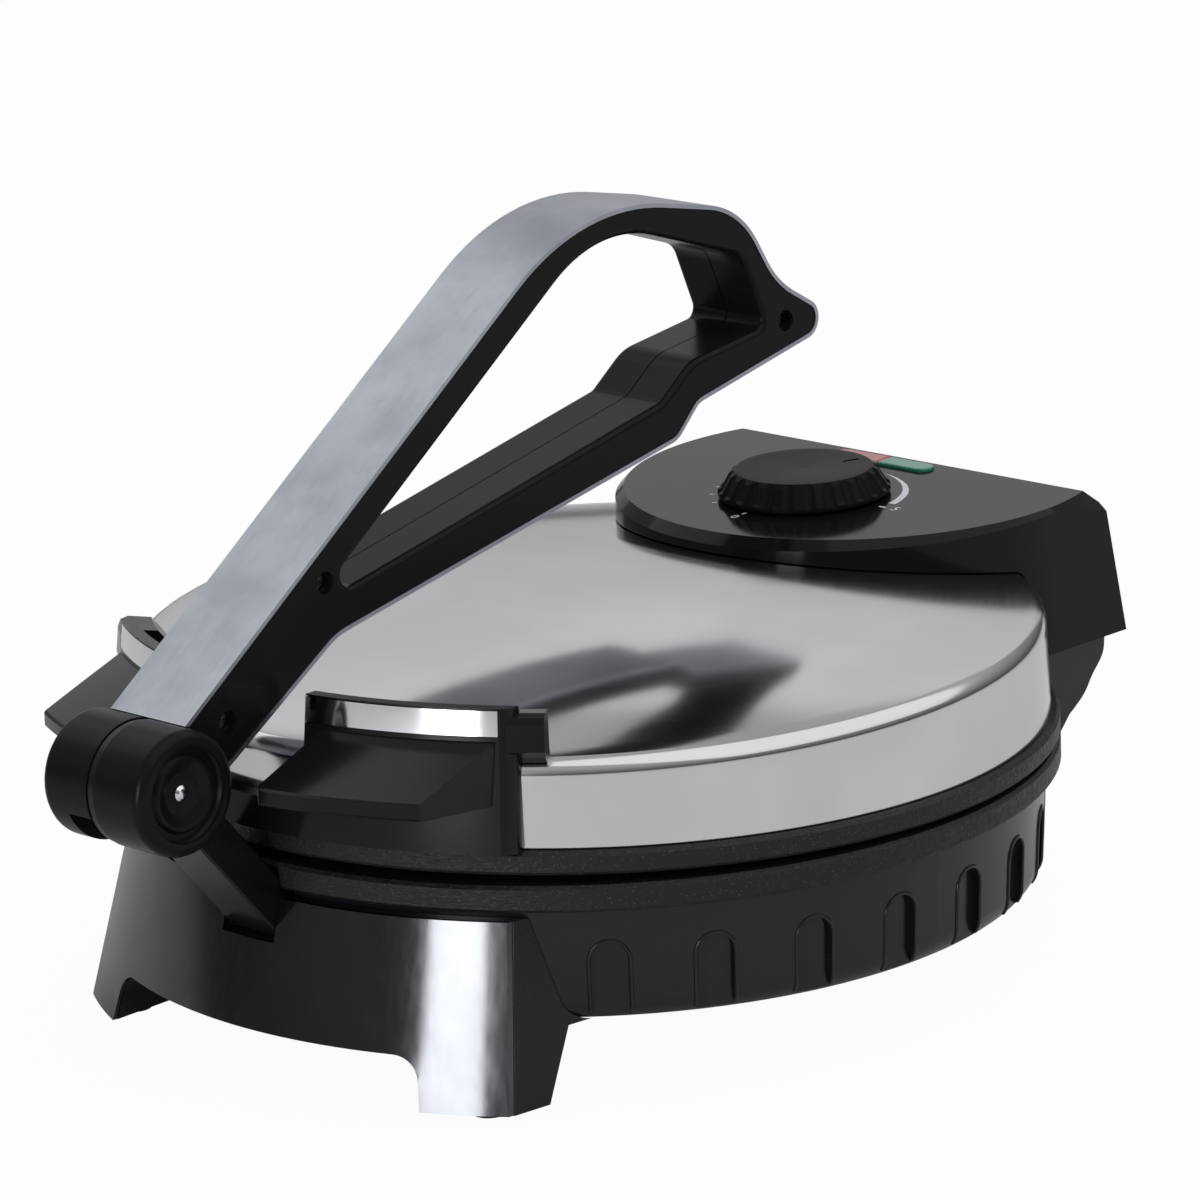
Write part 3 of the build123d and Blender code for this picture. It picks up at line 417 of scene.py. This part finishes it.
# non-stick coating: dark, rough, with pale flecks and a pebbled surface
def plateCoating(values):
    mat, tree, shader = newMaterial("plateCoating")
    coords = objectCoords(tree)
    cells = tree.nodes.new("ShaderNodeTexVoronoi")
    cells.inputs["Scale"].default_value = values["speckScale"]
    link(tree, coords, cells.inputs["Vector"])
    pebbles = noiseNode(tree, coords, values["pebbleScale"])
    flecks = rangeNode(tree, cells.outputs["Distance"], 1.0, 0.0, *values["speckEdges"])
    scores = noiseNode(tree, spunCoords(tree, plateAxis, values["scores"]), 1.0, *values["scoreDetail"])
    link(tree, mixColors(tree, flecks, values["base"], values["fleck"]), shader.inputs["Base Color"])
    link(tree, rangeNode(tree, pebbles, *values["rough"]), shader.inputs["Roughness"])
    shader.inputs["Specular IOR Level"].default_value = values["specular"]
    relief = tree.nodes.new("ShaderNodeMath")
    relief.operation = 'ADD'
    link(tree, pebbles, relief.inputs[0])
    link(tree, scores, relief.inputs[1])
    bump = bumpNode(tree, relief.outputs[0], values["bump"], values["bumpDepth"])
    link(tree, bump, shader.inputs["Normal"])
    return mat


finish["plateCoating"] = plateCoating(coating)

lenses = {
    "colors": {"greenLens": (0.01, 0.17, 0.10), "redLens": (0.30, 0.03, 0.03)},
    "glow": 0.06,
    "rough": 0.15,
    "coat": 0.5,
    "cloudScale": 260.0,
    "cloudDetail": 2.0,
    "paler": (1.3, 0.02),
}


def lensFinish(name, color, values):
    mat, tree, shader = newMaterial(name)
    cloud = noiseNode(tree, objectCoords(tree), values["cloudScale"], values["cloudDetail"])
    tint = mixColors(tree, cloud, color, paler(color, values["paler"]))
    link(tree, tint, shader.inputs["Base Color"])
    link(tree, tint, shader.inputs["Emission Color"])
    shader.inputs["Emission Strength"].default_value = values["glow"]
    shader.inputs["Roughness"].default_value = values["rough"]
    shader.inputs["Coat Weight"].default_value = values["coat"]
    return mat


for name, color in lenses["colors"].items():
    finish[name] = lensFinish(name, color, lenses)

nodeFinish = {
    "base_housing": "bowlPlastic", "bottom_cover": "plainSteel", "cover_screws": "plainSteel",
    "front_leg_block": "bowlPlastic", "front_fascia": "fasciaPaintedDarkReflection", "rear_legs": "bowlPlastic",
    "rubber_feet": "footRubber", "lower_plate": "plateCoating", "lower_element": "plainSteel",
    "lower_reflector": "plainSteel", "link_arm": "armPaint", "lever_pin": "brightMetal",
    "hinge_housing": "bowlPlastic", "hinge_pins": "brightMetal", "upper_plate": "plateCoating",
    "upper_element": "plainSteel", "upper_reflector": "plainSteel", "lid_shell": "lidSteel",
    "lid_bracket": "bracketPlastic", "bracket_trim_left": "brightMetal", "bracket_trim_right": "brightMetal",
    "control_housing": "glossPlastic", "thermostat": "plainSteel", "green_lens": "greenLens",
    "red_lens": "redLens", "cord_gland": "blackPlastic", "knob": "knobPlastic",
    "thermostat_shaft": "plainSteel", "lever_half_left": "blackPlastic", "lever_half_right": "blackPlastic",
    "lever_band": "bandSilver", "lever_screws": "plainSteel",
}
for name, node in nodes.items():
    node.data.materials.clear()
    node.data.materials.append(finish[nodeFinish[name]])
print("finishes set")


# helpers for new pieces
def startPiece():
    if bpy.context.object and bpy.context.object.mode != 'OBJECT':
        bpy.ops.object.mode_set(mode='OBJECT')
    bpy.ops.object.select_all(action='DESELECT')


def activate(piece):
    startPiece()
    piece.select_set(True)
    bpy.context.view_layer.objects.active = piece


# sets a piece in its place inside its mesh, closes it and turns its faces outwards
def settle(piece, place, merge=0.000002):
    piece.data.transform(place)
    activate(piece)
    bpy.ops.object.mode_set(mode='EDIT')
    bpy.ops.mesh.select_all(action='SELECT')
    bpy.ops.mesh.remove_doubles(threshold=merge)
    bpy.ops.mesh.normals_make_consistent(inside=False)
    bpy.ops.object.mode_set(mode='OBJECT')


def finishPiece(piece, name, material, body, smooth):
    piece.name = name
    piece.data.name = name
    activate(piece)
    bpy.ops.object.shade_smooth_by_angle(angle=math.radians(smooth))
    piece.data.materials.clear()
    piece.data.materials.append(finish[material])
    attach(piece, body)


# lid shell: a spun steel dish in the solid one's place, with an even rounded shoulder
lidDish = {
    "segments": 192,
    "radius": 130.4,          # millimetres, at the wall's lower edge
    "wallHeight": 26.2,
    "wallDraw": 0.6,          # the wall draws in by this up to the shoulder
    "crown": 11.8,            # rise of the top from the shoulder to the middle
    "shoulder": 5.0,
    "sheet": 1.2,
    "seat": 69.1,             # height of the lower edge while the lid is shut
    "wedge": 1.5,             # degrees the top rises to the back
    "open": 0.65,             # degrees the lid stands open at rest
    "hinge": (135.0, 70.5),   # distance behind the plates' axis, and height
    "spare": 12.0,            # depth below the edge, cut off once the dish is tilted
    "shoulderRings": 10,
    "topRings": 26,
    "smooth": 40.0,
}


# (radius, height) of every ring, from below the edge up to the middle of the top
def dishProfile(values):
    rise = Vector((-values["wallDraw"], values["wallHeight"])).normalized()
    out = Vector((rise.y, -rise.x))
    crease = values["radius"] - values["wallDraw"]
    ball = (crease ** 2 + values["crown"] ** 2) / (2.0 * values["crown"])
    middle = Vector((0.0, values["wallHeight"] + values["crown"] - ball))
    near = Vector((values["radius"], 0.0)) - out * values["shoulder"] - middle
    along = near.dot(rise)
    reach = math.sqrt(along ** 2 - near.length_squared + (ball - values["shoulder"]) ** 2) - along
    eye = middle + near + rise * reach
    first = math.atan2(out.y, out.x)
    last = math.atan2(eye.y - middle.y, eye.x)
    spare = values["spare"]
    rings = [(values["radius"] + spare * values["wallDraw"] / values["wallHeight"], -spare)]
    for k in range(values["shoulderRings"] + 1):
        turn = first + (last - first) * k / values["shoulderRings"]
        rings.append((eye.x + values["shoulder"] * math.cos(turn),
                      eye.y + values["shoulder"] * math.sin(turn)))
    edge = rings[-1][0]
    for k in range(1, values["topRings"]):
        radius = edge * (1.0 - k / values["topRings"])
        rings.append((radius, middle.y + math.sqrt(ball ** 2 - radius ** 2)))
    return rings


def addLidDish(values):
    startPiece()
    rings = dishProfile(values)
    bpy.ops.mesh.primitive_circle_add(vertices=values["segments"], radius=rings[0][0] / 1000,
                                      fill_type='NOTHING', location=(0, 0, rings[0][1] / 1000))
    piece = bpy.context.object
    bpy.ops.object.transform_apply(location=True, rotation=False, scale=False)
    bpy.ops.object.mode_set(mode='EDIT')
    bpy.ops.mesh.select_all(action='SELECT')
    for (before, low), (radius, high) in zip(rings, rings[1:]):
        bpy.ops.mesh.extrude_region_move(TRANSFORM_OT_translate={"value": (0, 0, (high - low) / 1000)})
        bpy.ops.transform.resize(value=(radius / before, radius / before, 1), center_override=(0, 0, 0))
    top = values["wallHeight"] + values["crown"]
    bpy.ops.mesh.extrude_region_move(TRANSFORM_OT_translate={"value": (0, 0, (top - rings[-1][1]) / 1000)})
    bpy.ops.mesh.merge(type='CENTER')
    bpy.ops.object.mode_set(mode='OBJECT')
    settle(piece, Matrix.Rotation(math.radians(values["wedge"]), 4, 'X'))
    bpy.ops.object.mode_set(mode='EDIT')
    bpy.ops.mesh.select_all(action='SELECT')
    bpy.ops.mesh.bisect(plane_co=(0, 0, 0), plane_no=(0, 0, 1), clear_inner=True)
    bpy.ops.object.mode_set(mode='OBJECT')
    wall = piece.modifiers.new("sheet", 'SOLIDIFY')
    wall.thickness = values["sheet"] / 1000
    wall.offset = -1.0
    wall.use_even_offset = True
    bpy.ops.object.modifier_apply(modifier=wall.name)
    behind, height = values["hinge"]
    hinge = Vector((0, plateAxis.y + behind / 1000, height / 1000))
    place = (Matrix.Translation(hinge) @ Matrix.Rotation(math.radians(-values["open"]), 4, 'X')
             @ Matrix.Translation(-hinge) @ Matrix.Translation((0, plateAxis.y, values["seat"] / 1000)))
    piece.data.transform(place)
    finishPiece(piece, "lidDish", "lidSteel", "lid", values["smooth"])
    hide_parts("lid_shell")


addLidDish(lidDish)
print("lid spun")

# flutes: a fine raised bead runs round each arched recess of the bowl
fluteBead = {
    "bead": 0.55,             # millimetres, radius of the bead
    "halfWidth": 5.6,
    "archMiddle": 39.3,       # height of the arch's centre
    "wallFoot": 28.6,         # the bowl's lower corner starts here
    "corner": 7.0,
    "cornerTurn": 40.0,       # degrees the bead follows the corner
    "cornerSteps": 6,
    "archSteps": 16,
    "rimRadius": 128.6,       # of the bowl at its rim, and the rim's height
    "rimHeight": 54.2,
    "draft": 3.0,             # degrees the bowl's wall leans in towards its foot
    "count": 28,              # places round the whole bowl
    "frontSkip": 41.0,        # degrees without flutes on either side of the front, and of the rear
    "rearSkip": 37.0,
    "roundness": 2,
    "smooth": 50.0,
}


# one side's (x, out, height) points from the foot up, as seen from the front
def beadSide(values, side):
    slope = math.tan(math.radians(values["draft"]))
    points = []
    for k in range(values["cornerSteps"], 0, -1):
        turn = math.radians(values["cornerTurn"]) * k / values["cornerSteps"]
        foot = values["rimRadius"] - (values["rimHeight"] - values["wallFoot"]) * slope
        points.append((side * values["halfWidth"], foot - values["corner"] * (1 - math.cos(turn)),
                       values["wallFoot"] - values["corner"] * math.sin(turn)))
    for height in (values["wallFoot"], (values["wallFoot"] + values["archMiddle"]) / 2):
        points.append((side * values["halfWidth"],
                       values["rimRadius"] - (values["rimHeight"] - height) * slope, height))
    return points


def addFluteBeads(values):
    startPiece()
    slope = math.tan(math.radians(values["draft"]))
    points = beadSide(values, -1)
    for k in range(values["archSteps"] + 1):
        turn = math.pi * (1 - k / values["archSteps"])
        height = values["archMiddle"] + values["halfWidth"] * math.sin(turn)
        points.append((values["halfWidth"] * math.cos(turn),
                       values["rimRadius"] - (values["rimHeight"] - height) * slope, height))
    points += beadSide(values, 1)[::-1]
    curve = bpy.data.curves.new("fluteBead", 'CURVE')
    curve.dimensions = '3D'
    curve.bevel_depth = values["bead"] / 1000
    curve.bevel_resolution = values["roundness"]
    curve.use_fill_caps = True
    line = curve.splines.new('POLY')
    line.points.add(len(points) - 1)
    for point, (x, out, height) in zip(line.points, points):
        away = math.sqrt(out ** 2 - x ** 2)      # the bowl is round, so its face falls back beside the flute
        point.co = (x / 1000, -away / 1000, height / 1000, 1)
    first = bpy.data.objects.new("fluteBead", curve)
    bpy.context.scene.collection.objects.link(first)
    activate(first)
    bpy.ops.object.convert(target='MESH')
    first = bpy.context.object
    copies = []
    for k in range(values["count"]):
        angle = (k + 0.5) * 360.0 / values["count"]
        fromFront = min(angle, 360.0 - angle)
        if values["frontSkip"] < fromFront < 180.0 - values["rearSkip"]:
            copy = first.copy()
            copy.data = first.data.copy()
            bpy.context.scene.collection.objects.link(copy)
            turn = Matrix.Rotation(math.radians(angle), 4, 'Z')
            copy.data.transform(Matrix.Translation((0, plateAxis.y, 0)) @ turn)
            copies.append(copy)
    bpy.data.objects.remove(first)
    startPiece()
    for copy in copies:
        copy.select_set(True)
    bpy.context.view_layer.objects.active = copies[0]
    bpy.ops.object.join()
    piece = bpy.context.object
    settle(piece, Matrix.Identity(4))
    finishPiece(piece, "fluteBeads", "bowlPlastic", "base", values["smooth"])


addFluteBeads(fluteBead)
print("flutes edged")

# dial: marks printed round the knob, placed on the panel's plane from the knob's axis
dial = {
    "centre": (0.0, 0.112535, 0.114174),
    "tilt": 0.85,             # degrees the panel rises to the back
    "thickness": 0.00006,
    "lift": 0.00002,
    "sweepRadius": 30.6,      # millimetres, and degrees from the right, from here on
    "sweepStart": 11.0,
    "sweepEnd": 80.0,
    "sweepWidth": 2.1,
    "sweepTip": 0.12,
    "sweepSteps": 28,
    "textSize": 1.35,         # a font's size is this many times its figures' height
    "textRoundness": 6,
    # angle, near end, far end, width
    "dashes": [(3.0, 27.7, 30.1, 0.8), (197.0, 27.0, 28.7, 0.7), (214.0, 26.6, 28.2, 0.7),
               (234.0, 26.2, 27.8, 0.7), (269.0, 24.9, 26.8, 0.8)],
    # text, angle, distance, height
    "numbers": [("0", 269.0, 30.0, 3.2), ("5", 3.0, 33.6, 3.6)],
}


# a flat figure on the panel: takes (x, y) corners in millimetres from the knob's axis
def panelFigure(name, corners, values):
    curve = bpy.data.curves.new(name, 'CURVE')
    curve.dimensions = '2D'
    curve.fill_mode = 'BOTH'
    curve.extrude = values["thickness"] / 2
    line = curve.splines.new('POLY')
    line.points.add(len(corners) - 1)
    for point, (x, y) in zip(line.points, corners):
        point.co = (x / 1000, y / 1000, 0, 1)
    line.use_cyclic_u = True
    piece = bpy.data.objects.new(name, curve)
    bpy.context.scene.collection.objects.link(piece)
    return setOnPanel(piece, values)


# the number's middle is set at this angle and radius, and it reads from the front
def panelNumber(text, angle, radius, height, values):
    curve = bpy.data.curves.new("dialNumber" + text, 'FONT')
    curve.body = text
    curve.size = height * values["textSize"] / 1000
    curve.align_x = 'CENTER'
    curve.align_y = 'CENTER'
    curve.extrude = values["thickness"] / 2
    curve.resolution_u = values["textRoundness"]
    piece = bpy.data.objects.new("dialNumber" + text, curve)
    bpy.context.scene.collection.objects.link(piece)
    turn = math.radians(angle)
    return setOnPanel(piece, values, (radius * math.cos(turn) / 1000, radius * math.sin(turn) / 1000))


def setOnPanel(piece, values, shift=(0.0, 0.0)):
    activate(piece)
    bpy.ops.object.convert(target='MESH')
    piece = bpy.context.object
    height = values["lift"] + values["thickness"] / 2
    tilt = Matrix.Rotation(math.radians(values["tilt"]), 4, 'X')
    place = Matrix.Translation(values["centre"]) @ tilt @ Matrix.Translation((shift[0], shift[1], height))
    settle(piece, place)
    piece.data.materials.clear()
    piece.data.materials.append(finish["dialPaint"])
    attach(piece, "lid")
    return piece


def addDial(values):
    steps = values["sweepSteps"]
    outer = []
    inner = []
    for k in range(steps + 1):
        share = k / steps
        turn = math.radians(values["sweepStart"] + share * (values["sweepEnd"] - values["sweepStart"]))
        width = values["sweepWidth"] * (1.0 - share ** 2) + values["sweepTip"]
        outer.append((values["sweepRadius"] * math.cos(turn), values["sweepRadius"] * math.sin(turn)))
        near = values["sweepRadius"] - width
        inner.append((near * math.cos(turn), near * math.sin(turn)))
    panelFigure("dialSweep", outer + inner[::-1], values)
    for k, (angle, near, far, width) in enumerate(values["dashes"]):
        turn = math.radians(angle)
        along = Vector((math.cos(turn), math.sin(turn)))
        aside = Vector((-along.y, along.x)) * width / 2
        corners = [along * near - aside, along * far - aside, along * far + aside, along * near + aside]
        panelFigure("dialDash%d" % k, [tuple(c) for c in corners], values)
    for text, angle, radius, height in values["numbers"]:
        panelNumber(text, angle, radius, height, values)


addDial(dial)
print("dial marked")
